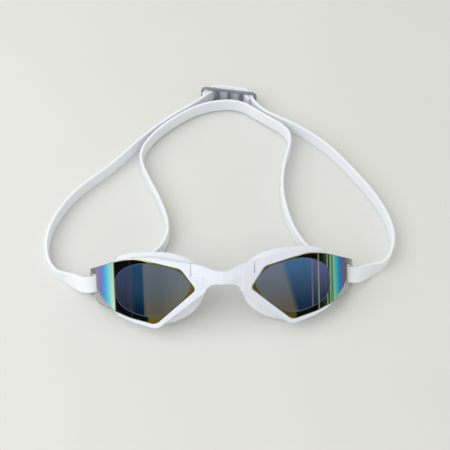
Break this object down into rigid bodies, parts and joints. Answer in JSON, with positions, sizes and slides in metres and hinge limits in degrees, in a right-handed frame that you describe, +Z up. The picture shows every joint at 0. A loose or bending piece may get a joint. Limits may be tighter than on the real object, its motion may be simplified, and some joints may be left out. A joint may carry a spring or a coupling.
{
  "type": "swim goggles",
  "caption": "Low-profile racing swim goggles with wrapped mirrored lenses, white rims, face gaskets, a changeable nose bridge, a double silicone strap and a ladder buckle",
  "frame": {"origin": "bottom centre of the whole object's bounding box as it lies, on the surface that it lies on", "axes": "+X across the goggles towards the right lens seen from the front, +Y from the lenses back to the strap buckle, +Z up"},
  "size_m": [0.2222, 0.1895, 0.0407],
  "materials": {
    "lens": "polycarbonate with a blue mirror coat",
    "white_rim": "soft satin elastomer",
    "white_bridge": "soft satin elastomer",
    "white_silicone_gasket": "satin silicone",
    "white_silicone_strap": "satin silicone",
    "grey_buckle": "slightly translucent grey plastic"
  },
  "bodies": {
    "bridge_and_strap": {"nose_bridge": "white_bridge", "strap": "white_silicone_strap"},
    "left_cup": {"lens_left": "lens", "rim_left": "white_rim", "gasket_left": "white_silicone_gasket"},
    "right_cup": {"lens_right": "lens", "rim_right": "white_rim", "gasket_right": "white_silicone_gasket"},
    "buckle": {"strap_buckle": "grey_buckle"}
  },
  "joints": [
    {"name": "left_cup_flex", "type": "hinge", "parent": "bridge_and_strap", "child": "left_cup", "pos_m": [-0.01221, -0.07582, 0.03187], "axis": [0, 0.766, 0.6428], "range_deg": [-6, 6], "stiffness_Nm_per_rad": 0.5, "deforming": ["strap"]},
    {"name": "right_cup_flex", "type": "hinge", "parent": "bridge_and_strap", "child": "right_cup", "pos_m": [0.01221, -0.07582, 0.03187], "axis": [0, 0.766, 0.6428], "range_deg": [-6, 6], "stiffness_Nm_per_rad": 0.5, "deforming": ["strap"]},
    {"name": "buckle_slide", "type": "slide", "parent": "bridge_and_strap", "child": "buckle", "axis": [0.9813, -0.1925, 0], "range_m": [-0.004, 0.004], "deforming": ["strap"]}
  ]
}
